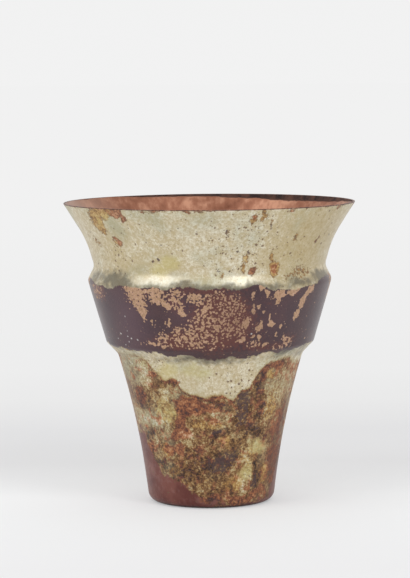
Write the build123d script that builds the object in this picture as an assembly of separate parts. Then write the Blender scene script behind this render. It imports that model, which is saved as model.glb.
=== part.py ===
from build123d import *
from math import radians, tan
import os

# A flaring copper beaker with one proud belt, built up by a coppersmith. Millimetres, +Z up.
# The origin is the centre of the ring it stands on, and every piece is turned about +Z.
# The mouth shell slips into the collar of the body shell, a hollow hoop covers that lap,
# a disc let into the turned heel closes the bottom, and solder fills each seam.

# Body, outside
base_radius = 34.3  # where the wall would meet the floor in a corner
heel_bend = 5.5  # radius that eases that corner
foot_radius = 50.8  # where the belt hoop comes back to the body
foot_height = 82.0
wall_hollow = 2.05  # how far the wall between them curves in from a straight line

# From the hoop's foot up, collar, hoop face and neck all lean out by one angle,
# and these runs are measured along that slope, one after the other
taper = 16.1  # degrees from upright
slope_run = 7.9  # the hoop's slope below its face
face_run = 35.7
ogee_run = 6.0  # the hoop's shoulder, up to where it comes back to the shell
neck_run = 15.5
belt_proud = 4.2  # how far the hoop's face stands out from the collar
edge_bend = 3.0  # radius below the hoop's face
shoulder_bend = 4.5  # radius above it

# Mouth, outside
mouth_radius = 80.1
flare_rise = 19.8  # from the top of the neck to the lip
flare_ease = 8.4  # length of neck, and of flare, that their easing curve takes up
lip_round = 0.3

# Sheet metal
shell_sheet = 1.1
hoop_sheet = 0.8
disc_sheet = 1.2

# Lap of the two shells, hidden under the hoop
collar_run = 31.2  # from the hoop's foot
lap_length = 12.0
lap_film = 0.3

# Bottom
flange_width = 5.0  # how far the turned heel reaches in under the disc
disc_clearance = 0.2

# Solder fillets, each measured along its two legs
neck_leg = 3.0
foot_leg = 2.0
base_leg = 2.6

overrun = 5.0  # how far forms and cuts run past what they shape


def toward(start, end, length):
    return start + (end - start).normalized() * length


def axis_form(outline):
    # The closed half section between the axis and an outline that runs from the bottom up
    bottom = outline @ 0
    top = outline @ 1
    return make_face(outline + Polyline(top, (0, top.Y), (0, bottom.Y), bottom))


def block(inner, low, outer, high):
    return make_face(Polyline((inner, low), (outer, low), (outer, high), (inner, high), close=True))


def solder_section(corner, first, second):
    # Solder that fills a corner, scraped flat
    return make_face(Polyline(corner, first, second, close=True))


def turned(section):
    return revolve(Plane.XZ * section, axis=Axis.Z)


# The one slope of collar, hoop and neck, as directions in the half section
up_slope = Vector(0, 1).rotate(Axis.Z, -taper)
outward = up_slope.rotate(Axis.Z, -90)
foot = Vector(foot_radius, foot_height)
neck_inset = outward * -(shell_sheet + lap_film)

# Mouth shell's outside, run past its skirt and its lip, to be cut to length
collar_top = foot + up_slope * collar_run
skirt_foot = collar_top + neck_inset - up_slope * lap_length
hoop_lip = foot + neck_inset + up_slope * (slope_run + face_run + ogee_run)
neck_top = hoop_lip + up_slope * neck_run
lip = Vector(mouth_radius, neck_top.Y + flare_rise)
flare_turn = radians(up_slope.get_angle(lip - neck_top))
mouth_line = FilletPolyline(
    skirt_foot - up_slope * overrun,
    neck_top,
    toward(lip, neck_top, -overrun),
    radius=flare_ease / tan(flare_turn / 2),
)
mouth_form = axis_form(mouth_line)
mouth_space = axis_form(mouth_line.offset_2d(shell_sheet, side=Side.LEFT, closed=False))

# Body shell's outside, run past its collar, with the wall as one shallow arc
heel_corner = Vector(base_radius, 0)
wall_line = SagittaArc(heel_corner, foot, wall_hollow)
body_corners = axis_form(wall_line + Line(foot, collar_top + up_slope * overrun))
body_form = fillet(body_corners.vertices().sort_by_distance(heel_corner)[0], heel_bend)
body_space = offset(body_form, -shell_sheet)

# Hoop's outside, run past the shells at both ends
edge = foot + up_slope * slope_run + outward * belt_proud
shoulder = edge + up_slope * face_run
hoop_line = FilletPolyline(
    toward(foot, edge, -overrun),
    edge,
    shoulder,
    toward(hoop_lip, shoulder, -overrun),
    radius=[edge_bend, shoulder_bend],
)
hoop_form = axis_form(hoop_line)
hoop_space = axis_form(hoop_line.offset_2d(hoop_sheet, side=Side.LEFT, closed=False))

# Bottom, with the disc seated on the flange of the heel
disc_radius = base_radius - heel_bend - disc_clearance
flange_radius = disc_radius - flange_width
disc_top = shell_sheet + disc_sheet


def mouth_shell():
    section = (mouth_form - mouth_space) & block(0, skirt_foot.Y, lip.X + overrun, lip.Y)
    rim = section.vertices().group_by(Axis.Y)[-1]
    return turned(fillet(rim, lip_round))


def body_shell():
    section = body_form - body_space
    return turned(section & block(flange_radius, 0, collar_top.X, collar_top.Y))


def belt_hoop():
    section = (hoop_form - hoop_space) & block(0, foot.Y, shoulder.X, hoop_lip.Y)
    return turned(section - mouth_form - body_form)


def base_disc():
    return turned(block(0, shell_sheet, disc_radius, disc_top))


def lap_solder():
    # A film between the two shells, as long as they overlap
    section = (body_space - mouth_form) & block(0, skirt_foot.Y, collar_top.X, collar_top.Y)
    return turned(section)


def neck_solder():
    # Outside, above the hoop's lip
    along_neck = hoop_lip + up_slope * neck_leg
    along_hoop = toward(hoop_lip, shoulder, neck_leg)
    return turned(solder_section(hoop_lip, along_neck, along_hoop))


def foot_solder():
    # Outside, under the hoop's foot
    along_hoop = toward(foot, edge, foot_leg)
    along_wall = wall_line @ (1 - foot_leg / wall_line.length)
    return turned(solder_section(foot, along_hoop, along_wall))


def base_solder():
    # Inside, round the rim of the disc
    corner = Vector(base_radius, disc_top)
    on_disc = Vector(disc_radius - base_leg, disc_top)
    up_wall = Vector(base_radius, disc_top + base_leg)
    gap = block(disc_radius, shell_sheet, base_radius, disc_top)
    return turned((solder_section(corner, on_disc, up_wall) + gap) & body_space)


pieces = [
    mouth_shell,
    body_shell,
    belt_hoop,
    base_disc,
    lap_solder,
    neck_solder,
    foot_solder,
    base_solder,
]
os.makedirs("parts", exist_ok=True)
for make in pieces:
    solid = make()
    solid.label = make.__name__
    export_step(solid, f"parts/{make.__name__}.step")
print("height", round(lip.Y, 1), "mouth", round(lip.X * 2, 1), "foot", round(foot_radius * 2, 1))
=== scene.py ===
from functools import reduce
import math

import bmesh
import bpy
import numpy as np
from mathutils import Matrix, Vector, noise


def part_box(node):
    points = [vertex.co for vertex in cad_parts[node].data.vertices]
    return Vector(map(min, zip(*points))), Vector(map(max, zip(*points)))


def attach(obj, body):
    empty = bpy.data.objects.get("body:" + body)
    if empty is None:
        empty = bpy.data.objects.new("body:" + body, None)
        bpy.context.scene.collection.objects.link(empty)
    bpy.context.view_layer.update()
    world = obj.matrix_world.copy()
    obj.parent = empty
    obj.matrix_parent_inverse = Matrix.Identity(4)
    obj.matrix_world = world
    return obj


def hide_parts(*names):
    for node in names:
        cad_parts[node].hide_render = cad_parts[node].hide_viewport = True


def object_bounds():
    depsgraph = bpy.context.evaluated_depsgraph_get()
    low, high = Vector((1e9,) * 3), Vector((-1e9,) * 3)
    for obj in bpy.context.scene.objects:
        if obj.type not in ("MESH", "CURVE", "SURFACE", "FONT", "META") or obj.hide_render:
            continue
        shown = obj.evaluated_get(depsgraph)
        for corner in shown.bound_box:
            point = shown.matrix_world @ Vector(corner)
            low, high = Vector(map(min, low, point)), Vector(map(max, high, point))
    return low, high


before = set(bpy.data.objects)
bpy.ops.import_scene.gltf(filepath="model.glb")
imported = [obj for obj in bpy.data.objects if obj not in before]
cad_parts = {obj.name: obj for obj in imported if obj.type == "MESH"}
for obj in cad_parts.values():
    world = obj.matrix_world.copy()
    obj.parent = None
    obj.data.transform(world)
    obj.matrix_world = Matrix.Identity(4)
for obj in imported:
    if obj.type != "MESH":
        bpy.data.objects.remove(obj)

# A flaring copper beaker with one proud belt: silvery deposit outside, an aubergine belt
# with flaked tan patches, a rust and ochre lower wall, and bare copper inside.
# Bearings are degrees round the beaker, 0 at the photographed front and growing to the right.
# Levels are millimetres above the floor.

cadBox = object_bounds()
mm = 0.001
scene = bpy.context.scene
scene.view_settings.view_transform = "Standard"


# Camera: a long lens, a little above the rim, fitted to the rim ellipse and the heel

cameraSet = {
    "distance": 1.42286,  # from the beaker's axis, metres
    "height": 0.24478,
    "pitch": 5.15,  # degrees down
    "roll": -0.48,
    "yaw": -0.106,
    "focalPixels": 2600,
    "photoHeight": 578,
    "sensor": 36,
}


def placeCamera(look):
    lens = bpy.data.cameras.new("camera")
    lens.sensor_fit = "AUTO"
    lens.sensor_width = look["sensor"]
    lens.lens = look["sensor"] * look["focalPixels"] / look["photoHeight"]
    lens.clip_start = 0.05
    lens.clip_end = 60
    camera = bpy.data.objects.new("camera", lens)
    scene.collection.objects.link(camera)
    camera.matrix_world = (
        Matrix.Translation((0, -look["distance"], look["height"]))
        @ Matrix.Rotation(math.radians(-look["yaw"]), 4, "Z")
        @ Matrix.Rotation(math.radians(90 - look["pitch"]), 4, "X")
        @ Matrix.Rotation(math.radians(look["roll"]), 4, "Z")
    )
    scene.camera = camera


placeCamera(cameraSet)
print("camera placed")


# Node helpers

def feed(tree, socket, value):
    # Links a socket to another node's output, or sets it to a plain value
    if isinstance(value, bpy.types.NodeSocket):
        tree.links.new(value, socket)
    else:
        socket.default_value = value


def nodeOf(tree, kind, **inputs):
    node = tree.nodes.new(kind)
    for name, value in inputs.items():
        feed(tree, node.inputs[name.replace("_", " ")], value)
    return node


def tone(red, green, blue):
    # A colour read off as 0 to 255 values, as Blender's linear colour
    linear = [((c / 255 + 0.055) / 1.055) ** 2.4 if c > 10 else c / 3295 for c in (red, green, blue)]
    return (*linear, 1)


def calc(tree, operation, *values):
    node = tree.nodes.new("ShaderNodeMath")
    node.operation = operation
    for socket, value in zip(node.inputs, values):
        feed(tree, socket, value)
    return node.outputs[0]


def blendColour(tree, share, below, above):
    node = tree.nodes.new("ShaderNodeMix")
    node.data_type = "RGBA"
    for socket, value in ((0, share), (6, below), (7, above)):
        feed(tree, node.inputs[socket], value)
    return node.outputs[2]


def blendValue(tree, share, below, above):
    node = tree.nodes.new("ShaderNodeMix")
    node.data_type = "FLOAT"
    for socket, value in ((0, share), (2, below), (3, above)):
        feed(tree, node.inputs[socket], value)
    return node.outputs[0]


def ramp(tree, value, stops):
    node = tree.nodes.new("ShaderNodeValToRGB")
    steps = node.color_ramp.elements
    while len(steps) < len(stops):
        steps.new(0.5)
    for step, (place, *shade) in zip(steps, stops):
        step.position = place
        step.color = tone(*shade)
    tree.links.new(value, node.inputs[0])
    return node.outputs[0]


def grainOf(tree, where, size, detail=4.0, roughness=0.6, twist=0.0):
    # Noise whose largest grains are about size millimetres across
    node = nodeOf(tree, "ShaderNodeTexNoise", Vector=where, Scale=1 / (size * mm), Detail=detail)
    node.inputs["Roughness"].default_value = roughness
    node.inputs["Distortion"].default_value = twist
    return node


def painted(tree, name):
    node = tree.nodes.new("ShaderNodeAttribute")
    node.attribute_type = "GEOMETRY"
    node.attribute_name = name
    return node.outputs["Fac"]


def crisper(tree, grain, half):
    # Pushes a noise of 0 to 1 towards its two ends
    node = nodeOf(tree, "ShaderNodeMapRange", Value=grain)
    node.interpolation_type = "SMOOTHSTEP"
    node.inputs["From Min"].default_value = 0.5 - half
    node.inputs["From Max"].default_value = 0.5 + half
    return node.outputs[0]


coverSet = {
    "lift": 1.6,  # how far a full cover lifts the noise over the threshold
    "drop": 0.3,  # how far the noise lies below it where there is no cover
    "smallest": 0.4,  # reach of the smallest spot, as a share of the radius
    "chosenEdge": 0.06,  # how soft the choice of the cells with a spot is, and a spot's rim
    "spotEdge": 0.08,
}


def coverage(tree, cover, grain, spread, crisp):
    # Turns a painted cover of 0 to 1 into broken, ragged patches that hold about that share
    lifted = calc(tree, "MULTIPLY_ADD", grain, spread, -coverSet["drop"] - spread / 2)
    lifted = calc(tree, "MULTIPLY_ADD", cover, coverSet["lift"], lifted)
    return crisper(tree, lifted, crisp)


def spots(tree, where, shift, size, share, radius):
    # Scattered ragged spots of mixed sizes, one to a cell of size millimetres in that share of the cells
    moved = nodeOf(tree, "ShaderNodeVectorMath", Vector=shift)
    moved.operation = "MULTIPLY_ADD"
    moved.inputs[1].default_value = (size * mm,) * 3
    tree.links.new(where, moved.inputs[2])
    cells = nodeOf(tree, "ShaderNodeTexVoronoi", Vector=moved.outputs[0], Scale=1 / (size * mm))
    chosen, wide = channels(tree, cells.outputs["Color"])[:2]
    chosen = calc(tree, "ADD", calc(tree, "SUBTRACT", share, chosen), 0.5)
    reach = calc(tree, "MULTIPLY_ADD", wide, radius, radius * coverSet["smallest"])
    near = calc(tree, "ADD", calc(tree, "SUBTRACT", reach, cells.outputs["Distance"]), 0.5)
    near = crisper(tree, near, coverSet["spotEdge"])
    return calc(tree, "MULTIPLY", crisper(tree, chosen, coverSet["chosenEdge"]), near)


def channels(tree, colour):
    return nodeOf(tree, "ShaderNodeSeparateColor", Color=colour).outputs


def newMaterial(name):
    material = bpy.data.materials.new(name)
    material.use_nodes = True
    tree = material.node_tree
    surface = tree.nodes["Principled BSDF"]
    where = tree.nodes.new("ShaderNodeTexCoord").outputs["Object"]
    return material, tree, surface, where


def dress(tree, surface, colour, rough, metal, height, strength, depth):
    for name, value in (("Base Color", colour), ("Roughness", rough), ("Metallic", metal)):
        feed(tree, surface.inputs[name], value)
    if strength:
        bump = nodeOf(tree, "ShaderNodeBump", Height=height, Strength=strength, Distance=depth * mm)
        tree.links.new(bump.outputs[0], surface.inputs["Normal"])


# The outside of the sheet, from the copper up to the deposit and what lies on it

sheetTones = {
    # a ramp has stops of place, red, green and blue
    "deposit": [
        (0, 40, 31, 29), (0.17, 72, 50, 36), (0.34, 108, 76, 48),
        (0.48, 140, 104, 66), (0.61, 166, 137, 94), (0.74, 186, 168, 126),
        (0.88, 202, 187, 153), (1, 232, 225, 204),
    ],
    "rust": [
        (0, 46, 27, 27), (0.22, 88, 46, 34), (0.45, 134, 76, 46),
        (0.65, 168, 106, 64), (1, 206, 170, 138),
    ],
    "ochre": [
        (0, 54, 35, 27), (0.22, 98, 65, 35), (0.45, 150, 108, 54),
        (0.65, 186, 148, 82), (1, 212, 192, 146),
    ],
    "copper": (tone(102, 55, 49), tone(125, 76, 67)),
    "green": tone(158, 163, 138),
    "yellow": tone(202, 188, 118),
    "pit": tone(104, 74, 46),
    "scale": (tone(50, 31, 36), tone(86, 58, 54)),
    # the smoky smudges, and the painted shade under the belt and on the shoulder
    "smokeAndPaintedShade": tone(84, 77, 60),
    # the colour of the painted highlights on the shoulder
    "paintedHighlight": tone(220, 216, 208),
    "belt": (tone(54, 29, 37), tone(68, 39, 42)),
    "redBelt": tone(92, 43, 33),
    # the purple of the painted sheen on the belt
    "paintedSheenPurple": tone(86, 58, 70),
    "haze": tone(104, 78, 80),
    "flake": [
        (0.36, 134, 92, 72), (0.46, 172, 138, 104),
        (0.54, 184, 144, 116), (0.64, 196, 161, 136),
    ],
    "fleck": tone(190, 186, 182),
}

sheetSet = {
    # mm across the largest grains of each noise, and across a cell of the beads
    "sizes": {"wide": 16, "medium": 4, "small": 1.6, "grain": 0.8, "worms": 1.5, "fine": 1, "beads": 1.35},
    # mm to a cell, share of the painted cover, and radius of a spot in cells
    "spots": {"pits": (1.9, 1, 0.25), "specks": (1, 0.8, 0.24)},
    "mottling": {"blotches": 1.2, "flecks": 0.3, "grain": 0.45},
    "crisping": {"flecks": 0.14, "haze": 0.25},
    # how far noise breaks up the patches of each kind, and how soft that leaves their edges
    "breaking": {
        "green": (2, 0.5), "ochre": (2.4, 0.2), "rust": (2.6, 0.18), "yellow": (1.6, 0.45),
        "copper": (2.6, 0.2), "scale": (3, 0.14), "smokeAndPaintedShade": (1.4, 0.4), "belt": (2.6, 0.28),
        "redness": (2, 0.4), "flake": (3.2, 0.16), "fleck": (0.6, 0.2), "broad": (3, 0.45),
    },
    # how much a full cover of each kind hides of what lies below it
    "strengths": {
        "green": 0.45, "ochre": 0.9, "rust": 0.9, "ring": 2.4, "yellow": 0.5, "scale": 0.85,
        "pits": 0.85, "specks": 0.5, "smokeAndPaintedShade": 0.8, "paintedSheen": 0.8, "haze": 0.22,
    },
    "beads": {"dots": -0.36, "worms": 0.7, "lift": 0.33},
    "flakeWear": -0.34,  # how much of a fine flake is worn through
    "roughness": {
        "deposit": (0.3, 0.46), "crust": 0.58, "copper": 0.36, "belt": 0.28, "flake": 0.46, "polishAndPaintedHighlight": 0.4,
    },
    "metal": {"bare": 0.5, "polishAndPaintedHighlight": 0.2},
    "relief": {"deposit": 0.5, "flake": -0.4, "crust": 0.4, "pits": -0.5, "grain": 0.3},
    "bump": (0.4, 0.25),  # strength, and depth in mm
}


def patinatedSheet(tones, look):
    material, tree, surface, where = newMaterial("patinated_sheet")
    sizes, rough = look["sizes"], look["roughness"]
    thin = {"detail": 0.8, "roughness": 0.4, "twist": 0.3}
    wide = grainOf(tree, where, sizes["wide"], detail=3).outputs[0]
    medium = grainOf(tree, where, sizes["medium"], detail=7, roughness=0.62).outputs["Color"]
    small = grainOf(tree, where, sizes["small"], detail=5, roughness=0.62).outputs["Color"]
    grain = grainOf(tree, where, sizes["grain"], detail=3).outputs[0]
    worms = grainOf(tree, where, sizes["worms"], **thin).outputs[0]
    fine = grainOf(tree, where, sizes["fine"], **thin).outputs[0]
    worms = blendValue(tree, painted(tree, "fine"), worms, fine)
    one, two, three = channels(tree, medium)
    four, five, six = channels(tree, small)

    def broken(name, noise):
        return coverage(tree, painted(tree, name), noise, *look["breaking"][name])

    def scaled(value, factor):
        return calc(tree, "MULTIPLY", value, factor)

    def lay(name, share, below, above):
        return blendColour(tree, scaled(share, look["strengths"][name]), below, above)

    def dotted(name, shift):
        size, share, radius = look["spots"][name]
        return spots(tree, where, shift, size, scaled(painted(tree, "pits"), share), radius)

    # Mottling of about -0.5 to 0.5, from broad blotches to crisp flecks
    mottling = look["mottling"]
    mixed = scaled(one, mottling["blotches"])
    flecks = crisper(tree, four, look["crisping"]["flecks"])
    mixed = calc(tree, "MULTIPLY_ADD", flecks, mottling["flecks"], mixed)
    mixed = calc(tree, "MULTIPLY_ADD", grain, mottling["grain"], mixed)
    mixed = calc(tree, "SUBTRACT", mixed, sum(mottling.values()) / 2)

    # The silvery deposit, one ramp from bare dark scale up to pale silver
    thick = calc(tree, "MULTIPLY_ADD", mixed, painted(tree, "mottle"), painted(tree, "deposit"))
    colour = ramp(tree, thick, tones["deposit"])
    colour = lay("green", broken("green", wide), colour, tones["green"])
    gloss = blendValue(tree, grain, *rough["deposit"])

    # Ochre stains and rust, with darker edges where they are ringed
    grit = calc(tree, "MULTIPLY_ADD", mixed, painted(tree, "grit"), painted(tree, "ground"))
    ochre = broken("ochre", five)
    colour = lay("ochre", ochre, colour, ramp(tree, grit, tones["ochre"]))
    rust = broken("rust", three)
    colour = lay("rust", rust, colour, ramp(tree, grit, tones["rust"]))
    crust = calc(tree, "MAXIMUM", rust, ochre)
    edge = scaled(crust, calc(tree, "SUBTRACT", 1, crust))
    colour = lay("ring", scaled(edge, painted(tree, "ring")), colour, tones["pit"])
    gloss = blendValue(tree, crust, gloss, rough["crust"])
    colour = lay("yellow", broken("yellow", one), colour, tones["yellow"])

    # The smooth toned copper at the foot
    copper = broken("copper", two)
    broad = coverage(tree, 0.5, wide, *look["breaking"]["broad"])
    colour = blendColour(tree, copper, colour, blendColour(tree, broad, *tones["copper"]))
    gloss = blendValue(tree, copper, gloss, rough["copper"])

    # Dark scale, with painted shade at the heel, pits, and the smoky smudges by the belt, with painted shade
    # under the belt and on the shoulder
    scale = broken("scale", six)
    colour = lay("scale", scale, colour, blendColour(tree, grain, *tones["scale"]))
    pits = dotted("pits", small)
    colour = lay("pits", pits, colour, tones["pit"])
    colour = lay("specks", dotted("specks", medium), colour, tones["pit"])
    smokeAndPaintedShade = broken("smokeAndPaintedShade", two)
    colour = lay("smokeAndPaintedShade", smokeAndPaintedShade, colour, tones["smokeAndPaintedShade"])

    # The belt's aubergine tone, and the tan flakes on it: beads where cells are, joined by worms
    beltTone = blendColour(tree, broad, *tones["belt"])
    beltTone = blendColour(tree, broken("redness", five), beltTone, tones["redBelt"])
    # a painted sheen: paler purple where the belt catches the light
    beltTone = lay("paintedSheen", painted(tree, "paintedSheen"), beltTone, tones["paintedSheenPurple"])
    beltTone = lay("haze", crisper(tree, grain, look["crisping"]["haze"]), beltTone, tones["haze"])
    dots = nodeOf(tree, "ShaderNodeTexVoronoi", Vector=where, Scale=1 / (sizes["beads"] * mm))
    beads = calc(tree, "MULTIPLY_ADD", worms, look["beads"]["worms"], look["beads"]["lift"])
    beads = calc(tree, "MULTIPLY_ADD", dots.outputs["Distance"], look["beads"]["dots"], beads)
    flake = broken("flake", beads)
    worn = calc(tree, "MULTIPLY_ADD", painted(tree, "fine"), look["flakeWear"], 1)
    flakeTone = ramp(tree, calc(tree, "MULTIPLY_ADD", grain, 0.5, scaled(five, 0.5)), tones["flake"])
    beltTone = blendColour(tree, scaled(flake, worn), beltTone, flakeTone)
    belt = broken("belt", four)
    colour = blendColour(tree, belt, colour, beltTone)
    colour = blendColour(tree, broken("fleck", grain), colour, tones["fleck"])
    gloss = blendValue(tree, belt, gloss, blendValue(tree, flake, rough["belt"], rough["flake"]))

    # Bare metal is what nothing dull lies on. On the shoulder it is glossier and more metallic, and its colour
    # is blended towards a painted highlight where the lamps' highlights fall.
    dull = calc(tree, "MAXIMUM", calc(tree, "MAXIMUM", crust, scale), calc(tree, "MAXIMUM", belt, smokeAndPaintedShade))
    dull = calc(tree, "MAXIMUM", dull, pits)
    bare = calc(tree, "SUBTRACT", 1, dull)
    polishAndPaintedHighlight = scaled(painted(tree, "polishAndPaintedHighlight"), bare)
    metal = calc(tree, "MULTIPLY_ADD", polishAndPaintedHighlight, look["metal"]["polishAndPaintedHighlight"], scaled(bare, look["metal"]["bare"]))
    gloss = blendValue(tree, polishAndPaintedHighlight, gloss, rough["polishAndPaintedHighlight"])
    colour = blendColour(tree, polishAndPaintedHighlight, colour, tones["paintedHighlight"])

    height = scaled(grain, look["relief"]["grain"])
    for name, field in (("deposit", thick), ("flake", flake), ("crust", crust), ("pits", pits)):
        height = calc(tree, "MULTIPLY_ADD", field, look["relief"][name], height)
    dress(tree, surface, colour, gloss, metal, height, *look["bump"])
    return material


innerSet = {
    "streaks": 5,  # mm across the grains
    "broad": 25,
    "stretch": 0.5,  # scale of the streaks along the height
    "streakShare": 0.4,
    "tones": [(0.38, 120, 70, 48), (0.5, 154, 101, 76), (0.6, 192, 140, 112)],
    # the paler copper of the painted light on the inner wall
    "paintedSheen": tone(200, 164, 142),
    "soot": [(0.4, 48, 32, 30), (0.62, 98, 66, 54)],
    "sootBreaking": (1.4, 0.2),
    "roughness": (0.3, 0.5),
    "sootRoughness": 0.75,
    "metal": 0.5,
    "bump": (0.2, 0.2),
}


def innerCopper(look):
    material, tree, surface, where = newMaterial("inner_copper")
    mapping = nodeOf(tree, "ShaderNodeMapping", Vector=where, Scale=(1, 1, look["stretch"]))
    streaks = grainOf(tree, mapping.outputs[0], look["streaks"]).outputs[0]
    broad = grainOf(tree, where, look["broad"], detail=3).outputs[0]
    mixed = calc(tree, "MULTIPLY", broad, 1 - look["streakShare"])
    mixed = calc(tree, "MULTIPLY_ADD", streaks, look["streakShare"], mixed)
    # paler copper where the painted light lies on the inner wall
    colour = blendColour(tree, painted(tree, "paintedSheen"), ramp(tree, mixed, look["tones"]), look["paintedSheen"])
    soot = coverage(tree, painted(tree, "soot"), streaks, *look["sootBreaking"])
    colour = blendColour(tree, soot, colour, ramp(tree, streaks, look["soot"]))
    rough = blendValue(tree, soot, blendValue(tree, streaks, *look["roughness"]), look["sootRoughness"])
    dress(tree, surface, colour, rough, look["metal"], streaks, *look["bump"])
    return material


lipSet = {
    "name": "lip_brown",
    "speck": 2,  # mm across
    "tones": [(0.38, 70, 40, 32), (0.52, 104, 62, 46), (0.66, 150, 112, 86)],
    "roughness": (0.3, 0.55),
    "metal": 0.4,
    "bump": (0, 0),
}
solderSet = {
    "name": "dull_solder",
    "speck": 1.5,
    "tones": [(0.36, 118, 112, 100), (0.52, 142, 136, 122), (0.68, 164, 158, 142)],
    "roughness": (0.4, 0.6),
    "metal": 0.7,
    "bump": (0.3, 0.3),
}


def speckledMetal(look):
    material, tree, surface, where = newMaterial(look["name"])
    speck = grainOf(tree, where, look["speck"]).outputs[0]
    rough = blendValue(tree, speck, *look["roughness"])
    dress(tree, surface, ramp(tree, speck, look["tones"]), rough, look["metal"], speck, *look["bump"])
    return material


finishes = {
    "outside": patinatedSheet(sheetTones, sheetSet),
    "inside": innerCopper(innerSet),
    "lip": speckledMetal(lipSet),
    "solder": speckledMetal(solderSet),
}
print("finishes made")


# Where the patina lies, and where light and shade are painted. Each patch is (bearing, level, width, height,
# cover, lean): sizes in millimetres, cover the share that it holds, and lean in degrees to the right, if it
# leans.
# A patch of light, or of tint and painted shading, adds its cover to the thickness of the deposit, or takes it
# away.

patches = {}
# painted highlights on the shoulder: where the lamps' highlights fall, the silver is whiter and paler, as well
# as glossier and more metallic
patches["polishAndPaintedHighlight"] = [(-25, 126.5, 32, 7, 0.3), (14, 125.5, 26, 8, 0.22)]
patches["light"] = [
    # paler on the lower wall
    (-62, 76, 34, 18, 0.16), (-46, 80, 20, 8, 0.16), (-46, 69, 9, 13, 0.22), (-30, 63, 8, 9, 0.28),
    (-52, 48, 18, 8, 0.32, -4), (-68, 50, 14, 10, 0.22), (-36, 49, 6, 6, 0.25), (-40, 39, 10, 6, 0.2, -20),
    (-17, 41.5, 5, 3, 0.32, 20), (-20, 38.5, 2.5, 5, 0.32), (-32, 57, 6, 8, 0.12), (-38, 56, 8, 12, 0.1),
    (52, 66, 20, 20, 0.2), (44, 52, 5, 16, 0.18), (70, 74, 16, 24, 0.16), (14, 51, 10, 4, 0.22),
    (-5, 47, 16, 5, 0.08), (39, 33, 13, 7, 0.36, -10), (30, 19, 8, 17, 0.26, -8), (27, 12, 8, 6, 0.18),
    (22, 26, 8, 5, 0.2), (50, 19, 10, 10, 0.1), (12, 38, 6, 6, 0.12), (20, 19, 4, 4, 0.1),
    # the patch at bearing 66, level 30 darkens the lower wall's right edge as painted shade
    (56, 54, 12, 22, 0.08), (66, 30, 18, 50, -0.09), (12, 6, 12, 3, 0.22), (2, 54, 3, 3, 0.28),
    (-12, 57, 3, 2.5, 0.28), (8, 62, 4, 3, 0.26), (-19, 13, 3, 3, 0.2), (-9, 32, 4, 5, 0.1),
    (23, 58, 3, 9, 0.2),
    # darker on the lower wall
    (34, 42, 12, 9, -0.16), (6, 24, 14, 10, -0.18), (15, 29, 8, 8, -0.18), (-10, 26, 18, 16, -0.08),
    (-22, 18, 12, 10, -0.12), (6, 43, 12, 6, -0.16), (38, 15, 7, 14, -0.18), (-57, 57, 9, 9, -0.14),
    (3, 58, 14, 6, -0.12), (-45, 24, 12, 6, -0.14), (0, 6, 26, 6, -0.16), (34, 68, 6, 12, -0.22, -15),
    (42, 22, 6, 18, -0.18), (-54, 40, 10, 4, -0.2, -20), (44, 38, 8, 8, -0.12), (38, 58, 5, 12, -0.1),
    (-30, 38, 6, 5, -0.1), (-36, 22, 20, 8, -0.08), (0, 38, 20, 8, -0.05), (23, 56, 10, 20, -0.14),
    (-56, 62, 9, 12, -0.08),
]
# the mouth's tint with painted light and shade: paler at the front, darker towards the right side and at the
# left
patches["tintAndPaintedShading"] = [
    (50, 146, 52, 44, -0.11), (-47, 157, 22, 14, -0.05), (-48, 136, 24, 24, -0.06),
    (-20, 136, 24, 14, -0.03), (4, 148, 40, 30, 0.025),
]
patches["calm"] = [(66, 34, 18, 66, 0.6), (50, 68, 16, 16, 0.3), (-76, 64, 16, 36, 0.4)]
patches["ochre"] = [
    # on the mouth
    (-52.5, 158, 10, 14, 0.8, 22), (-51, 153.5, 6, 7, 0.9, 22), (-46, 163, 15, 8, 0.85),
    (18, 160, 3, 5, 0.85), (22, 162, 3.4, 5.5, 0.9), (26, 157, 3, 4, 0.6), (17, 137.5, 5, 5, 0.8),
    (16, 132.5, 3, 4.5, 0.9), (41, 149, 2.5, 6, 0.75), (-62, 146, 9, 5, 0.5), (8, 154, 3, 5, 0.45),
    (10, 163, 3, 2, 0.7), (32, 132.5, 7, 8, 0.95), (30.5, 138, 2.6, 8, 0.8), (50, 129, 20, 6, 0.48),
    (44, 126.5, 22, 5, 0.45), (20, 131, 5, 4, 0.6), (6, 130, 3, 3, 0.5), (57, 145, 5, 5, 0.5),
    (-45, 146, 8, 5, 0.5, 42),
    # on the lower wall
    (-37, 56, 18, 22, 0.44), (-3, 48, 24, 6, 0.6), (-16, 62, 8, 5, 0.6), (-38, 32, 7, 6, 0.85),
    (-34, 20, 12, 6, 0.6), (-46, 28, 10, 6, 0.4), (12, 38, 6, 7, 0.85), (42, 74, 8, 6, 0.75),
    (48, 55, 10, 18, 0.55), (50, 18, 12, 12, 0.9), (19, 14, 14, 10, 0.66), (30, 28, 16, 12, 0.5),
    (-3, 15, 14, 10, 0.4), (26, 7, 14, 5, 0.3), (-27, 24, 8, 10, 0.4), (20, 35, 16, 8, 0.4),
    (-45, 82, 26, 6, 0.3), (44, 83, 20, 4, 0.35), (-52, 87.5, 12, 3, 0.6),
]
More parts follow.
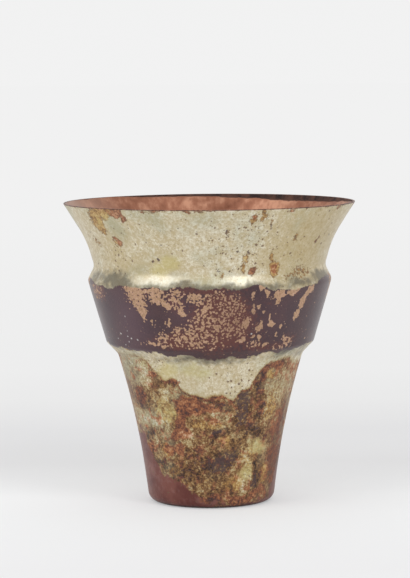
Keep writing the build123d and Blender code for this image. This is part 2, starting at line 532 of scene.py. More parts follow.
patches["rust"] = [
    # on the mouth
    (-45, 147, 7, 5, 0.55, 42), (-38.5, 164, 9, 9, 0.95), (-51, 157, 7, 12, 0.36, 22),
    (-36, 159.5, 3, 4, 0.95), (21, 131, 4.5, 4, 0.85), (57, 145, 3.5, 3.5, 0.7), (32, 132.5, 6, 8, 0.6),
    (-10, 160, 6, 3, 0.35), (48, 130.5, 12, 5, 0.4), (53, 132, 5, 2, 0.8), (17, 137, 3, 2, 0.5),
    (18, 161, 2, 3, 0.6),
    # on the lower wall
    (-40, 74.5, 7, 4, 0.95), (-26, 70, 9, 3, 0.85, -10), (-57, 61, 11, 13, 0.7), (-34, 72, 4, 6, 0.5),
    (-62, 72, 6, 6, 0.6), (-39, 67, 3, 10, 0.6, 20), (-40, 50, 5, 9, 0.5), (-14, 57, 20, 11, 0.9),
    (4, 57, 14, 9, 0.6), (-22, 48, 9, 22, 0.85), (-26, 41, 9, 6, 0.9), (-24, 33, 8, 10, 0.7),
    (-58, 33, 16, 7, 0.8), (-48, 33, 8, 5, 0.6), (36, 74, 6, 7, 0.85, -20), (47, 79, 12, 5, 0.85, 10),
    (36, 64, 8, 12, 0.6), (38, 56, 8, 12, 0.6), (60, 45, 16, 22, 0.6), (50, 40, 10, 10, 0.5),
    (12, 27, 8, 3, 0.85), (4, 38, 22, 8, 0.4), (30, 50, 12, 12, 0.5), (-8, 33, 20, 16, 0.4),
    (-48, 68, 12, 6, 0.4), (64, 25, 16, 40, 0.6), (0, 5, 24, 6, 0.7), (46, 8, 16, 8, 0.6),
    (26, 5, 26, 7, 0.6), (17, 10, 12, 7, 0.45), (-40, 26, 12, 8, 0.5), (-35, 33, 12, 7, 0.65),
    (10, 8, 10, 4, 0.5),
]
patches["scale"] = [
    # specks on the mouth
    (-27, 135.5, 1.5, 2, 1), (-24, 136.5, 1.3, 1.8, 1, 20), (-22, 145, 2.6, 2, 0.6, -30),
    (-4, 148, 1.4, 2, 0.7, 20), (7, 154, 1.5, 3, 0.8, 10), (-14, 149, 1.2, 1.2, 0.7),
    (8, 151, 1.4, 1.2, 0.7), (25.5, 155, 1.6, 4, 0.7, -20), (41, 150, 1.4, 3, 0.7), (43, 136, 1.6, 2, 0.7),
    (57, 144.5, 2.4, 3, 0.7), (4.5, 133, 1.6, 2.2, 0.7), (-47, 141.5, 2, 2, 0.7), (17.5, 141, 2, 2.4, 0.7),
    (13, 141, 1.6, 2, 0.7), (-23, 155, 1.6, 1.4, 0.5), (10, 130, 1.6, 2, 0.7), (29.5, 140, 1.4, 3, 0.7),
    (20, 131, 1.6, 1.6, 0.6), (67, 149, 3, 1.6, 0.6),
    # patches on the lower wall
    (23, 57, 9, 20, 0.58), (24, 47, 8, 6, 0.5), (32, 44, 12, 10, 0.42, -20), (-57, 56, 8, 6, 0.42),
    (6, 24, 14, 10, 0.56), (15, 28, 9, 10, 0.6), (-10, 26, 16, 14, 0.34), (-22, 18, 10, 10, 0.4),
    (6, 43, 10, 5, 0.5), (-2, 4, 20, 4, 0.5), (38, 15, 6, 14, 0.52), (-46, 25, 10, 4, 0.45),
    (-50, 39, 9, 3, 0.55, -20), (-9, 56, 3, 2, 0.8), (5, 58, 12, 5, 0.45), (34, 67, 5, 9, 0.5, -15),
    (14, 20, 40, 30, 0.24), (41, 56, 4, 5, 0.5), (50, 36, 8, 5, 0.35),
]
patches["pits"] = [
    (16, 147, 42, 34, 0.66), (20, 139, 24, 16, 0.7), (9, 153, 12, 10, 0.7), (17, 72, 26, 20, 0.6),
    (-44, 137, 18, 10, 0.4), (-20, 146, 14, 8, 0.4), (20, 159, 14, 10, 0.6), (46, 137, 22, 14, 0.4),
]
patches["green"] = [
    (-24, 159, 20, 12, 0.35), (-2, 157, 26, 12, 0.4), (14, 153, 22, 18, 0.2), (-42, 154, 12, 12, 0.5),
    (-35, 132, 16, 10, 0.35), (6, 141, 20, 12, 0.35), (0, 126, 60, 6, 0.7), (-60, 76, 34, 18, 0.5),
    (-52, 48, 18, 10, 0.65), (-46, 68, 9, 12, 0.35), (-20, 78, 24, 10, 0.3), (52, 68, 18, 16, 0.25),
    (-25, 61, 11, 11, 0.3), (46, 88, 14, 9, 0.6), (-40, 39, 11, 8, 0.4),
]
patches["yellow"] = [
    (-18, 136, 12, 8, 1, 20), (-24, 132, 12, 6, 0.9), (-28, 77, 14, 12, 0.7), (-10, 76, 22, 10, 0.6),
    (39, 33, 12, 8, 0.85), (29, 20, 9, 12, 0.7), (-34, 55, 16, 16, 0.45), (40, 74, 6, 5, 0.6),
    (-46, 80, 14, 8, 0.4), (-51.5, 157, 7, 11, 0.5, 22), (-45, 161, 12, 6, 0.4), (17, 137, 4, 5, 0.3),
]
# smoky smudges by the belt with painted shade: dark bands under the belt's foot where its shadow falls, and on
# the shoulder between the lamps' highlights where darker reflections would be
patches["smokeAndPaintedShade"] = [
    (-54, 126.5, 30, 9, 0.75), (-46, 123.5, 18, 7, 0.98), (-69, 126, 28, 9, 0.62), (46, 123.5, 36, 6, 0.7),
    (68, 125, 24, 9, 1), (0, 123.2, 120, 4.6, 0.85), (-2, 125, 18, 6, 0.4), (-46, 86, 26, 5, 0.5),
    (46, 87, 20, 7, 0.75), (64, 85, 24, 10, 0.55), (-4, 83.5, 50, 5, 0.8), (-62, 87, 26, 6, 0.5),
    (10, 85, 110, 4, 0.4), (-58, 123, 28, 5, 0.7), (-74, 123, 20, 6, 0.6), (58, 122.5, 28, 4, 0.6),
]
patches["flake"] = [
    (-36.5, 120.5, 18, 6, 0.78), (-36.4, 117.5, 14, 7, 0.74), (-35.6, 114, 10, 7, 0.78),
    (-34.6, 110.5, 7, 5, 0.9), (-33.8, 107.3, 3.6, 5, 0.98, 12), (-26, 120, 12, 6, 0.74),
    (-25, 116.5, 8, 7, 0.74, 30), (-21.5, 113, 6, 5, 0.85, 30), (-17, 119, 13, 7, 0.56),
    (-15.5, 114, 9, 9, 0.6), (-13, 110, 5, 4, 0.8), (-7, 117, 9, 6, 0.56, 30), (-3, 112, 5, 8, 0.6, 20),
    (5, 112, 29, 21, 0.46), (11, 104, 22, 18, 0.48), (-5, 99, 19, 18, 0.47), (-13, 97, 18, 8, 0.52),
    (-8, 93, 30, 6, 0.46), (-26, 97, 8, 7, 0.45), (-27, 91.5, 18, 3, 0.62), (-21, 103.5, 5, 4, 0.5),
    (-28, 103, 4, 4, 0.5), (-6, 106, 7, 6, 0.5), (-68, 118, 18, 9, 0.46), (21, 118, 3.4, 4.5, 0.97),
    (24.5, 121.6, 4, 3, 0.97), (28, 119.5, 2, 5, 0.95, -40), (34, 118.5, 7, 6, 0.97),
    (34.4, 114.6, 3.2, 4, 0.97), (42, 120, 9, 5, 0.85), (54.5, 119, 5, 8, 0.85, 40),
    (51, 113, 5, 8, 0.98, 30), (47.6, 106.5, 4.6, 7, 0.98, 20), (21.5, 112, 2.4, 3.6, 0.95),
    (25, 112, 2.2, 2.6, 0.9), (25, 102.6, 3.2, 7, 0.97, 25), (18.5, 103, 2.6, 7, 0.95, 10),
    (32.5, 102.5, 5.4, 4, 0.98), (31, 106.3, 2, 2.6, 0.95), (38.7, 99.3, 2.2, 3, 0.9, 25),
    (22, 97, 1.8, 2, 0.9), (25.5, 96, 2.2, 4, 0.95), (17, 94.5, 6, 3.5, 0.85, -30), (4, 90.5, 20, 3, 0.42),
    (45.5, 92, 8, 7, 0.6, -20), (30, 92.5, 4, 2, 0.8), (23, 92, 8, 5, 0.5), (38, 89.5, 10, 4, 0.46),
    (27, 109, 1.6, 1.6, 0.9), (36, 96, 1.4, 1.6, 0.8), (42, 94, 3, 2.4, 0.8),
]
patches["fine"] = [(13, 108, 20, 28, 1), (4, 96, 14, 12, 0.5)]
# painted light: a paler purple sheen on the belt, and paler copper on the inner wall where it is lit
patches["paintedSheen"] = [
    (-104, 158, 56, 24, 0.6), (-44, 103, 26, 34, 0.8), (-14, 110, 12, 12, 0.7), (36, 108, 24, 18, 0.3),
]
patches["fleck"] = [
    (-47, 106, 0.9, 1.3, 0.9), (-47.4, 103, 0.9, 1, 0.7), (-48, 98, 0.9, 1, 0.8),
    (-54, 96, 1.9, 1, 0.9, 20), (-58, 93, 1.9, 0.9, 0.8, 20), (-48.5, 95, 0.9, 1, 0.9),
    (-46, 94, 1.4, 1, 0.9, -20), (-41.5, 93.5, 1.7, 0.9, 0.9, 30), (-52, 90, 1.3, 0.9, 0.8),
    (-48.5, 92, 0.9, 1, 0.9), (-38, 104, 0.7, 0.8, 0.5), (-44, 110, 0.7, 0.8, 0.5),
    (22, 105.5, 0.8, 0.8, 0.7), (21.5, 97.5, 1.3, 1.2, 0.8), (-40, 101, 0.7, 0.7, 0.4),
    (-50, 100, 0.7, 0.7, 0.4),
]
patches["redness"] = [
    (6, 104, 38, 36, 0.8), (-14, 94, 34, 12, 0.8), (30, 90, 34, 8, 0.65), (-66, 118, 22, 12, 0.7),
    (-2, 121, 44, 6, 0.75), (-16, 114, 16, 14, 0.6), (-36, 118, 16, 12, 0.7), (26, 99, 8, 12, 0.4),
    (30, 114, 10, 8, 0.4), (46, 93, 14, 8, 0.6), (44, 119, 10, 8, 0.5),
]

# The borders, as (bearing, level), joined up and repeated round the back
borders = {
    "beltTop": [
        (-180, 123), (-120, 121.5), (-78, 124.5), (-60, 121.5), (-45, 122), (-30, 122.6), (0, 122.7), (20, 123),
        (27, 122), (45, 120.5), (60, 123), (74, 125.5), (92, 123.5), (130, 122), (180, 123),
    ],
    "beltFoot": [
        (-180, 87), (-120, 86), (-75, 88), (-45, 87), (-30, 86.2), (-15, 85), (-5, 83.6), (8, 84), (20, 85.6),
        (45, 86.4), (75, 88), (120, 86), (180, 87),
    ],
    "silverFoot": [
        (-180, 70), (-150, 62), (-120, 74), (-95, 76), (-80, 84), (-60, 84), (-45, 83.5), (-38, 79), (-33, 73),
        (-30, 71.5), (-23, 71), (-20, 67), (-12, 64.5), (-5, 63), (5, 62), (8, 64), (12, 62), (16, 60.5),
        (18, 64), (27, 67), (29, 72), (32, 76), (38, 79.5), (48, 82), (56, 82), (62, 80), (80, 78), (100, 82),
        (130, 68), (160, 76), (180, 70),
    ],
    "copperTop": [
        (-180, 22), (-162, 14), (-150, 22), (-136, 22), (-122, 32), (-106, 42), (-92, 43), (-80, 44), (-67, 42),
        (-60, 33), (-54, 25), (-48, 19), (-40, 17), (-25, 16), (-20, 12), (-14, 9), (-8, 5), (0, 3), (20, 2),
        (44, 2), (60, 4), (70, 11), (78, 22), (86, 34), (96, 37), (108, 33), (120, 27), (134, 16), (148, 20),
        (164, 12), (180, 22),
    ],
    "sootFoot": [
        (-180, 1.5), (-150, 1.1), (-138, 0), (-90, 0), (-60, 0.7), (0, 0.7), (60, 0.7), (92, 0.9), (106, 1.6),
        (118, 2.6), (134, 3.3), (148, 3.3), (163, 2.4), (180, 1.5),
    ],
}

paintSet = {
    "special": ("light", "tintAndPaintedShading", "calm", "fleck"),  # kinds that aren't plain covers
    "edgeSoftness": 2,  # mm over which a patch's edge fades
    "widening": 0.16,  # share of a patch's narrow side that this fade grows by
    # the same for the kinds whose edges are softer or crisper
    "fades": {
        "green": 8, "yellow": 4, "smokeAndPaintedShade": 5, "redness": 6, "pits": 8, "fine": 14, "paintedSheen": 14,
        "flake": 1, "fleck": 0.8, "light": 3, "tintAndPaintedShading": 14, "calm": 14,
    },
    "copperFade": 12,
    "lightLimit": 0.4,  # the most that patches of light or dark add up to
    "warps": ((9, 2.2), (3, 1)),  # mm across the wobbles in every edge, and how deep they are
    # the same for the smooth copper's upper edge, and where in the noise they are read
    "rags": ((14, 14, 8.1), (4, 6, 2.7)),
    "ragsFrom": (66, 20),  # degrees of bearing where these begin, and over which they grow
    "slowSize": 22,  # mm across the slow drift of a layer
    "backCopies": ((118, 1, 3), (-122, -1, -4), (181, 1, 6)),  # turn, mirrored or not, lift
    "frontHalf": 78,  # degrees of bearing that the photograph shows, each way
    "backBlend": 6,  # degrees over which the kin at the back come in
    "overlap": 8,
    "single": ("paintedSheen", "polishAndPaintedHighlight"),  # kinds with no kin at the back
    "backShare": 0.85,  # how much of its cover a kind keeps there
    "backShares": {"smokeAndPaintedShade": 0.6},
}

# What each layer holds where no patch adds to it. Wall is the lower wall, under the silver,
# and a drift is how far a value wanders slowly from place to place.
layerSet = {
    "silverDeposit": 0.9,
    "wallDeposit": 0.45,
    "wallDrift": 0.06,
    # how much the painted highlights on the shoulder pale the deposit
    "paintedHighlightLift": 0.1,
    "ground": 0.43,  # how light the rust and ochre are
    "groundDrift": 0.05,
    "groundOnSilver": 0.12,
    "mottleOnSilver": 0.3,
    "copper": 0.95,
    "wallRust": 0.36,
    "wallOchre": 0.22,
    "wallStainDrift": 0.2,
    "wallScale": 0.24,
    "scaleOffCopper": 0.6,
    "fewPits": 0.1,
    "green": 0.2,
    "greenAtLip": 0.2,
    "greenDrift": 0.15,
    "greenBand": 9,  # mm below the lip
    "borderLine": {"half": 42, "width": 1.4, "dark": 0.1, "rust": 0.8},  # along the silver's foot
    "lipRust": {"band": 1.1, "cover": 0.4},
    # painted shade at the heel: dark scale laid all round below this level
    "heelPaintedShade": {"level": 2.1, "fade": 1.2, "cover": 0.75},
    "sootFade": 2.4,
}


def wobble(places, size, shift):
    # Smooth noise of -1 to 1 at each place, with bumps of that size in millimetres
    scale = 1 / (size * mm)
    offset = Vector((shift, shift * 1.7, -shift))
    return np.array([noise.noise(Vector(p) * scale + offset) for p in places])


def wrapped(bearing):
    # The same bearing as a value of -180 to 180
    return (bearing + 180) % 360 - 180


def border(name, bearing):
    turns, levels = zip(*borders[name])
    return np.interp(bearing, turns, levels)


def patchShare(patch, bearing, level, radius, softness):
    # 1 inside the patch and 0 outside it, with a soft edge
    turn, height, wide, tall, cover, *lean = patch
    across = np.radians(wrapped(bearing - turn)) * radius
    up = level - height
    angle = math.radians(sum(lean))
    along = up * math.cos(angle) + across * math.sin(angle)
    aside = across * math.cos(angle) - up * math.sin(angle)
    narrow = min(wide, tall)
    reach = (1 - np.hypot(aside / wide * 2, along / tall * 2)) * narrow / 2
    return np.clip(reach / (softness + narrow * paintSet["widening"]) + 0.5, 0, 1)


def kinOf(name, bearing):
    # The photographed patches, then their kin round the back, each with where it may lie
    shown = paintSet["frontHalf"]
    behind = np.clip((np.abs(bearing) - shown) / paintSet["backBlend"] + 0.5, 0, 1)
    for patch in patches[name]:
        yield patch, 1.0
    if name in paintSet["single"]:
        return
    share = paintSet["backShares"].get(name, paintSet["backShare"])
    for turn, mirror, lift in paintSet["backCopies"]:
        for place, level, wide, tall, cover, *lean in patches[name]:
            there = wrapped(place * mirror + turn)
            if abs(there) > shown - paintSet["overlap"]:
                turned = [angle * mirror for angle in lean]
                yield (there, level + lift * mirror, wide, tall, cover * share, *turned), behind


def coversOf(name, bearing, level, radius):
    # What each patch of a kind holds at every point
    softness = paintSet["fades"].get(name, paintSet["edgeSoftness"])
    for patch, allowed in kinOf(name, bearing):
        yield patchShare(patch, bearing, level, radius, softness) * patch[4] * allowed


def coverOf(name, *where):
    return reduce(np.maximum, coversOf(name, *where), 0)


def lightOf(name, *where):
    return np.clip(sum(coversOf(name, *where)), -paintSet["lightLimit"], paintSet["lightLimit"])


def pointsOf(mesh):
    places = np.empty(len(mesh.vertices) * 3)
    mesh.vertices.foreach_get("co", places)
    return places.reshape(-1, 3)


def paint(mesh, topLevel, base):
    # Puts every field of the patina on the mesh's points
    places = pointsOf(mesh)
    radius = np.hypot(places[:, 0], places[:, 1]) / mm
    soft = paintSet["edgeSoftness"]
    around = np.degrees(np.arctan2(places[:, 0], -places[:, 1]))
    height = places[:, 2] / mm
    shiftAcross = sum(wobble(places, size, 3.1) * depth for size, depth in paintSet["warps"])
    shiftUp = sum(wobble(places, size, 9.7) * depth for size, depth in paintSet["warps"])
    bearing = wrapped(around + np.degrees(shiftAcross / np.maximum(radius, 5)))
    level = height + shiftUp
    where = bearing, level, radius
    slow = wobble(places, paintSet["slowSize"], 5.3)
    ragsFrom, ragsOver = paintSet["ragsFrom"]
    ragged = sum(wobble(places, size, shift) * depth for size, depth, shift in paintSet["rags"])
    ragged *= np.clip((np.abs(bearing) - ragsFrom) / ragsOver, 0, 1)

    def over(name, softness, shift=0):
        return np.clip((level + shift - border(name, bearing)) / softness + 0.5, 0, 1)

    silver = over("silverFoot", soft)
    wall = 1 - silver
    line = base["borderLine"]
    onLine = np.clip(1 - np.abs(level - border("silverFoot", bearing) + 1) / line["width"], 0, 1)
    onLine *= np.abs(bearing) < line["half"]
    nearLip = np.clip((level - (topLevel - base["greenBand"])) / base["greenBand"], 0, 1)
    copper = (1 - over("copperTop", paintSet["copperFade"], ragged)) * wall
    light = lightOf("light", *where) * wall - line["dark"] * onLine
    grit = 1 - coverOf("calm", *where)
    fields = {name: coverOf(name, *where) for name in patches if name not in paintSet["special"]}
    fields["fleck"] = coverOf("fleck", around, height, radius)
    fields["belt"] = over("beltFoot", soft) * (1 - over("beltTop", soft))
    fields["deposit"] = base["silverDeposit"] * silver + (base["wallDeposit"] + base["wallDrift"] * slow) * wall
    # paler where the painted highlights fall on the shoulder, and paler or darker where the mouth's tint and
    # painted shading lie
    fields["deposit"] += light + base["paintedHighlightLift"] * fields["polishAndPaintedHighlight"] + lightOf("tintAndPaintedShading", *where)
    fields["ground"] = base["ground"] + base["groundDrift"] * slow + light + base["groundOnSilver"] * silver
    fields["grit"] = grit
    fields["mottle"] = base["mottleOnSilver"] * silver + wall * grit
    fields["ring"] = silver
    fields["copper"] = copper * base["copper"]
    fewPits = base["fewPits"]
    fields["pits"] = np.maximum(fields["pits"], fewPits + fewPits * slow) * silver + fewPits * wall
    fields["green"] += base["green"] + base["greenAtLip"] * nearLip + base["greenDrift"] * slow
    drift = base["wallStainDrift"] * slow
    lipRust = base["lipRust"]["cover"] * (level > topLevel - base["lipRust"]["band"])
    for rust in (wall * (base["wallRust"] + drift), onLine * line["rust"], lipRust):
        fields["rust"] = np.maximum(fields["rust"], rust)
    fields["ochre"] = np.maximum(fields["ochre"], wall * (base["wallOchre"] - drift))
    # the scale is also laid all round at the heel as painted shade
    heel = base["heelPaintedShade"]
    scale = np.maximum(fields["scale"], wall * base["wallScale"]) * (1 - copper * base["scaleOffCopper"])
    fields["scale"] = np.maximum(scale, heel["cover"] * np.clip((heel["level"] - height) / heel["fade"], 0, 1))
    fields["soot"] = np.clip((height - topLevel + border("sootFoot", bearing)) / base["sootFade"] + 0.5, 0, 1)
    for name, values in fields.items():
        attribute = mesh.attributes.new(name, "FLOAT", "POINT")
        attribute.data.foreach_set("value", np.clip(values, 0, 2).astype(np.float32))


# Pieces turned about the axis from the half sections of the CAD nodes

spinSet = {
    "doublings": 3,  # the share that is spun is doubled this often to go round
    "mergeDistance": 1e-6,
    "straight": 0.05,  # degrees, below which a point of the section lies on a straight edge
    "facetTurns": (0.2, 14),  # degrees, between which a corner of it is only a facet
    "sharpTurn": 50,  # degrees, above which an edge shades sharp
    "softEdge": 1.2,  # mm, an edge long enough to need its facets eased
    "facetEase": 42,  # percent of the shorter edge that this takes up
    "hollows": ((26, 0.09), (11, 0.04)),  # mm across the hollows of the planishing, and their depths
    "patternRadius": 60,  # mm, the ring on which their pattern is laid out
    "evenBelow": 7,  # mm, where the sheet stays true at the heel
    "lipReach": 25,  # mm below the lip over which it is drawn in and wanders
    "lipInset": 0.7,  # share of the hollows' depth that it is drawn in by
    "lipSpare": 0.02,
    "lipWave": 30,
    "lipDip": 0.12,  # mm that the lip wanders down
    "lipFace": 0.6,  # mm at the top of the lip that have its own finish
}
beltFoot, beltTop = (corner.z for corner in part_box("belt_hoop"))


def halfSection(node):
    section = bmesh.new()
    section.from_mesh(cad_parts[node].data)
    bmesh.ops.remove_doubles(section, verts=section.verts, dist=spinSet["mergeDistance"])
    everything = section.verts[:] + section.edges[:] + section.faces[:]
    bmesh.ops.bisect_plane(
        section, geom=everything, dist=spinSet["mergeDistance"],
        plane_co=(0, 0, 0), plane_no=(0, 1, 0), clear_inner=True, clear_outer=True,
    )
    bmesh.ops.delete(section, geom=[v for v in section.verts if v.co.x < 0], context="VERTS")
    straight = [v for v in section.verts if turnAt(v) < spinSet["straight"]]
    bmesh.ops.dissolve_verts(section, verts=straight)
    return section


def turnAt(vert):
    # Degrees that the section turns by at a point
    before, after = (edge.other_vert(vert).co for edge in vert.link_edges)
    return math.degrees((vert.co - before).angle(after - vert.co))


def isFacet(vert):
    # A corner that is only a facet of a curve, between two long edges
    shortest = min(edge.calc_length() for edge in vert.link_edges)
    least, most = spinSet["facetTurns"]
    return least < turnAt(vert) < most and shortest > spinSet["softEdge"] * mm


def easeFacets(section):
    facets = [v for v in section.verts if isFacet(v)]
    if facets:
        bmesh.ops.bevel(
            section, geom=facets, offset=spinSet["facetEase"], offset_type="PERCENT", segments=2,
            profile=0.5, affect="VERTICES", clamp_overlap=True, material=-1,
        )


def divideSection(section, settings):
    # Divides the section's edges, finely where they face outwards and show
    face = bmesh.ops.contextual_create(section, geom=section.edges[:])["faces"][0]
    low, high = settings.get("shown", (-1, 1))
    groups = {}
    for loop in face.loops:
        start, end = loop.vert.co, loop.link_loop_next.vert.co
        faces = (end - start).cross(face.normal).x > 0
        shows = faces and low < (start.z + end.z) / 2 < high
        spacing = settings["fine"] if shows else settings["coarse"]
        cuts = math.ceil((end - start).length / mm / spacing) - 1
        groups.setdefault(cuts, []).append(loop.edge)
    bmesh.ops.delete(section, geom=[face], context="FACES_ONLY")
    for cuts, edges in groups.items():
        if cuts > 0:
            bmesh.ops.subdivide_edges(section, edges=edges, cuts=cuts)


def hollowSolder(section, settings):
    # Draws the scraped face of a solder fillet in to a hollow that runs out on both legs
    longest = max(section.edges, key=lambda edge: edge.calc_length())
    first, last = (vert.co.copy() for vert in longest.verts)
    corner = max(
        (vert for vert in section.verts if vert not in longest.verts),
        key=lambda vert: min((vert.co - first).length, (vert.co - last).length),
    ).co.copy()
    rows = bmesh.ops.subdivide_edges(section, edges=[longest], cuts=settings["hollowCuts"])["geom_inner"]
    for vert in (item for item in rows if isinstance(item, bmesh.types.BMVert)):
        share = (vert.co - first).length / (last - first).length
        near, far = first.lerp(corner, settings["hug"]), last.lerp(corner, settings["hug"])
        rest = 1 - share
        vert.co = first * rest**3 + near * 3 * rest**2 * share + far * 3 * rest * share**2 + last * share**3


def spinRound(section, steps):
    # Spins one share of the round, then doubles it until it closes
    shares = 2 ** spinSet["doublings"]
    bmesh.ops.spin(
        section, geom=section.verts[:] + section.edges[:], cent=(0, 0, 0), axis=(0, 0, 1),
        angle=math.tau / shares, steps=steps // shares, use_merge=False, use_duplicate=False,
    )
    for doubling in range(spinSet["doublings"]):
        everything = section.verts[:] + section.edges[:] + section.faces[:]
        copies = bmesh.ops.duplicate(section, geom=everything)["geom"]
        turn = Matrix.Rotation(math.tau / shares * 2**doubling, 3, "Z")
        verts = [item for item in copies if isinstance(item, bmesh.types.BMVert)]
        bmesh.ops.rotate(section, cent=(0, 0, 0), matrix=turn, verts=verts)
    bmesh.ops.remove_doubles(section, verts=section.verts, dist=spinSet["mergeDistance"])
    bmesh.ops.recalc_face_normals(section, faces=section.faces)
    for edge in section.edges:
        edge.smooth = edge.calc_face_angle(0) < math.radians(spinSet["sharpTurn"])


def hammer(mesh, topLevel):
    # Moves both faces of the sheet together, in or out, so its thickness stays
    places = pointsOf(mesh)
    level = places[:, 2] / mm
    radius = np.maximum(np.hypot(places[:, 0], places[:, 1]), 1e-9)
    laidOut = places.copy()
    laidOut[:, :2] *= (spinSet["patternRadius"] * mm / radius)[:, None]
    push = sum(wobble(laidOut, size, size) * depth for size, depth in spinSet["hollows"])
    even, reach = spinSet["evenBelow"], spinSet["lipReach"]
    push *= np.clip((level - even) / even, 0, 1)
    nearLip = np.clip((level - (topLevel - reach)) / reach, 0, 1)
    deepest = sum(depth for size, depth in spinSet["hollows"])
    push -= nearLip * (deepest + spinSet["lipSpare"]) * spinSet["lipInset"]
    dip = (wobble(laidOut, spinSet["lipWave"], 2.2) - 1) * 0.5 * spinSet["lipDip"] * nearLip
    places[:, :2] *= (1 + push * mm / radius)[:, None]
    places[:, 2] += dip * mm
    mesh.vertices.foreach_set("co", places.ravel())
    mesh.update()


def turnedPiece(settings):
    section = halfSection(settings["node"])
    seam = "hollowCuts" in settings
    if seam:
        hollowSolder(section, settings)
    easeFacets(section)
    divideSection(section, settings)
    spinRound(section, settings["steps"])
    lipLevel = max(vert.co.z for vert in section.verts) - spinSet["lipFace"] * mm
    for face in section.faces:
        face.smooth = True
        centre = face.calc_center_median()
        outward = face.normal.x * centre.x + face.normal.y * centre.y
        if settings.get("lip") and centre.z > lipLevel:
            face.material_index = 1
        elif outward < 0 and not seam:
            face.material_index = 2
    mesh = bpy.data.meshes.new(settings["name"])
    section.to_mesh(mesh)
    section.free()
    paint(mesh, cadBox[1].z / mm, layerSet)
    hammer(mesh, cadBox[1].z / mm)
    for name in ("outside", "lip", "inside"):
        mesh.materials.append(finishes[name])
    piece = bpy.data.objects.new(settings["name"], mesh)
    scene.collection.objects.link(piece)
    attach(piece, "root")
    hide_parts(settings["node"])
    print(settings["name"], "has", sum(len(p.vertices) - 2 for p in mesh.polygons), "triangles")


mouthSet = {
    "name": "hammered_mouth",
    "node": "mouth_shell",
    "slot": "silvered_copper",
    "steps": 640,
    "fine": 0.65,  # mm between points where the sheet shows
    "coarse": 2.6,
    "shown": (beltTop - 2 * mm, 1),  # levels between which the outer face shows
    "lip": True,
}
bodySet = {
    "name": "hammered_body",
    "node": "body_shell",
    "slot": "silvered_copper",
    "steps": 416,
    "fine": 0.7,
    "coarse": 2.8,
    "shown": (-1, beltFoot + 2 * mm),
}
beltSet = {
    "name": "hammered_belt",
    "node": "belt_hoop",
    "slot": "aubergine_copper",
    "steps": 640,
    "fine": 0.55,
    "coarse": 2.2,
}
neckSeamSet = {
    "name": "scraped_neck_seam",
    "node": "neck_solder",
    "slot": "solder",
    "steps": 640,
    "fine": 0.6,
    "coarse": 1.2,
    "hollowCuts": 11,
    "hug": 0.8,  # how closely the hollow follows its two legs
}
footSeamSet = {
    "name": "scraped_foot_seam",
    "node": "foot_solder",
    "slot": "solder",
    "steps": 480,
    "fine": 0.6,
    "coarse": 1.2,
    "hollowCuts": 7,
    "hug": 0.7,
}

for settings in (mouthSet, bodySet, beltSet, neckSeamSet, footSeamSet):
    turnedPiece(settings)


# CAD nodes that stay as they are, with finishes of their own

def refinish(node, finish):
    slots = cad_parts[node].data.materials
    slots.clear()
    slots.append(finish)


refinish("base_disc", finishes["inside"])
refinish("base_solder", finishes["solder"])
refinish("lap_solder", finishes["solder"])
print("pieces made")


# Floor, world and lights

roomSet = {
    "floorSize": 40,
    "floorRoughness": 0.9,
    "floorSpecular": 0.1,
    "ambient": 0.83,
    "paleWorld": 0.885,
    "floorRange": (-0.5, 2.5),  # metres along Y that the tones span
    # painted light and shade on the floor: a paler band by the beaker's foot that lightens its shadow, and a
    # darker band behind it that stands in for the shade where a sweep bends up
    "floorTones": [
        (0, 237, 237, 237), (0.1, 236, 236, 237), (0.14, 242, 243, 244),
        (0.17, 246, 247, 248), (0.21, 230, 230, 231), (0.255, 228, 228, 229),
        (0.305, 236, 236, 236), (0.363, 239, 239, 239), (0.433, 238, 238, 238),
        (0.78, 240, 240, 240), (1, 241, 241, 241),
    ],
    "evenFrom": (0.3, 0.9),  # metres from the axis over which the floor turns to an even pale tone
    "evenNear": 0.35,  # share of that even tone under the beaker, which lightens its shadow
}
lampSet = [
    {"name": "left_box", "turn": -57, "height": 42, "distance": 1.6, "size": 1, "power": 4.6},
    {"name": "right_box", "turn": 35, "height": 45, "distance": 1.6, "size": 0.5, "power": 3.7},
]


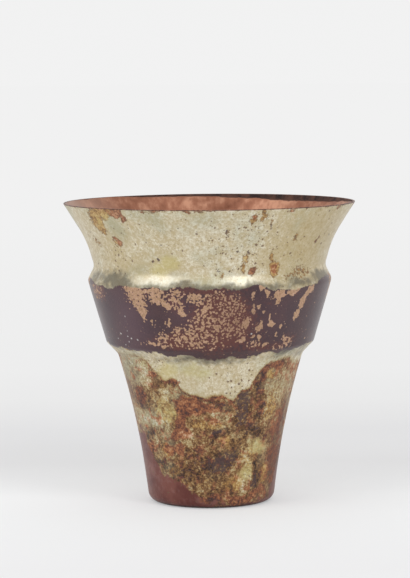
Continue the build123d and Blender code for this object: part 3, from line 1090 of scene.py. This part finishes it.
def makeFloor(look):
    bm = bmesh.new()
    bmesh.ops.create_grid(bm, x_segments=8, y_segments=8, size=look["floorSize"] / 2)
    mesh = bpy.data.meshes.new("floor")
    bm.to_mesh(mesh)
    bm.free()
    floor = bpy.data.objects.new("floor", mesh)
    scene.collection.objects.link(floor)
    material, tree, surface, where = newMaterial("pale_sweep")
    depth = nodeOf(tree, "ShaderNodeSeparateXYZ", Vector=where).outputs["Y"]
    spread = nodeOf(tree, "ShaderNodeMapRange", Value=depth)
    spread.inputs["From Min"].default_value, spread.inputs["From Max"].default_value = look["floorRange"]
    colour = ramp(tree, spread.outputs[0], look["floorTones"])
    tree.links.new(colour, surface.inputs["Base Color"])
    surface.inputs["Roughness"].default_value = look["floorRoughness"]
    surface.inputs["Specular IOR Level"].default_value = look["floorSpecular"]

    # The sweep shows the camera its plain tone, in part by the beaker and wholly away from it
    away = nodeOf(tree, "ShaderNodeVectorMath", Vector=where)
    away.operation = "LENGTH"
    even = nodeOf(tree, "ShaderNodeMapRange", Value=away.outputs["Value"])
    even.interpolation_type = "SMOOTHSTEP"
    even.inputs["From Min"].default_value, even.inputs["From Max"].default_value = look["evenFrom"]
    even.inputs["To Min"].default_value = look["evenNear"]
    seen = tree.nodes.new("ShaderNodeLightPath").outputs["Is Camera Ray"]
    plain = nodeOf(tree, "ShaderNodeEmission", Color=colour)
    mixed = tree.nodes.new("ShaderNodeMixShader")
    tree.links.new(calc(tree, "MULTIPLY", even.outputs[0], seen), mixed.inputs[0])
    tree.links.new(surface.outputs[0], mixed.inputs[1])
    tree.links.new(plain.outputs[0], mixed.inputs[2])
    tree.links.new(mixed.outputs[0], tree.nodes["Material Output"].inputs["Surface"])
    mesh.materials.append(material)


def makeWorld(look):
    world = bpy.data.worlds.new("pale room")
    scene.world = world
    world.use_nodes = True
    tree = world.node_tree
    background = tree.nodes["Background"]
    rays = tree.nodes.new("ShaderNodeLightPath").outputs
    seen = calc(tree, "MAXIMUM", rays["Is Camera Ray"], rays["Is Glossy Ray"])
    seen = calc(tree, "MAXIMUM", seen, rays["Is Transmission Ray"])
    strength = blendValue(tree, seen, look["ambient"], look["paleWorld"])
    background.inputs["Color"].default_value = (1, 1, 1, 1)
    tree.links.new(strength, background.inputs["Strength"])


def makeLamp(look):
    lamp = bpy.data.lights.new(look["name"], "AREA")
    lamp.shape = "DISK"
    lamp.size = look["size"]
    lamp.energy = look["power"]
    turn, height = math.radians(look["turn"]), math.radians(look["height"])
    aim = Vector((0, 0, cadBox[1].z / 2))
    away = Vector((math.sin(turn) * math.cos(height), -math.cos(turn) * math.cos(height), math.sin(height)))
    item = bpy.data.objects.new(look["name"], lamp)
    scene.collection.objects.link(item)
    item.location = aim + away * look["distance"]
    item.rotation_euler = away.to_track_quat("Z", "Y").to_euler()


makeFloor(roomSet)
makeWorld(roomSet)
for look in lampSet:
    makeLamp(look)
print("floor, world and lamps made")
